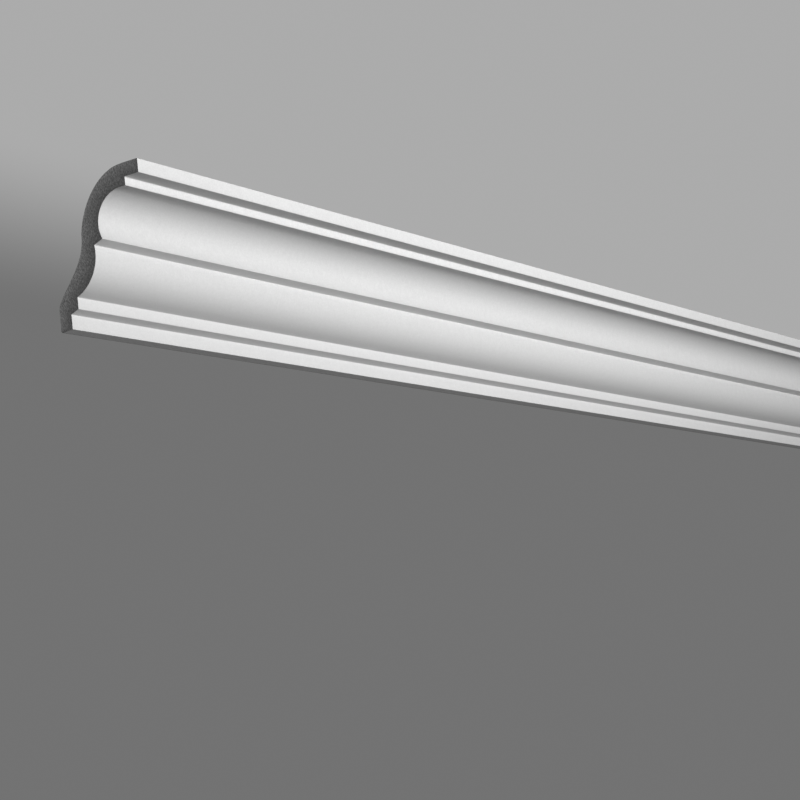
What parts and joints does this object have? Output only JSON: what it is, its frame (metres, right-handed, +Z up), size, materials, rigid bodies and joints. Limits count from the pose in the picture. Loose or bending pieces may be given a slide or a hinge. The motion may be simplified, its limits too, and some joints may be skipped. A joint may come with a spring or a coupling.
{
  "type": "cornice moulding length",
  "caption": "Straight length of white cornice moulding with a cove over an ovolo and a hollow back, to be glued into the corner of a wall and a ceiling.",
  "frame": {"origin": "centre of the strip that is glued to the wall, half way along the moulding", "axes": "+X along the moulding, +Y into the wall, +Z up to the ceiling"},
  "size_m": [1.54, 0.0918, 0.12],
  "materials": {
    "primed_foam": "factory coat of matt white primer on hard foam, with bare foam on the cut ends"
  },
  "bodies": {
    "root": {"cornice_moulding": "primed_foam"}
  },
  "joints": []
}
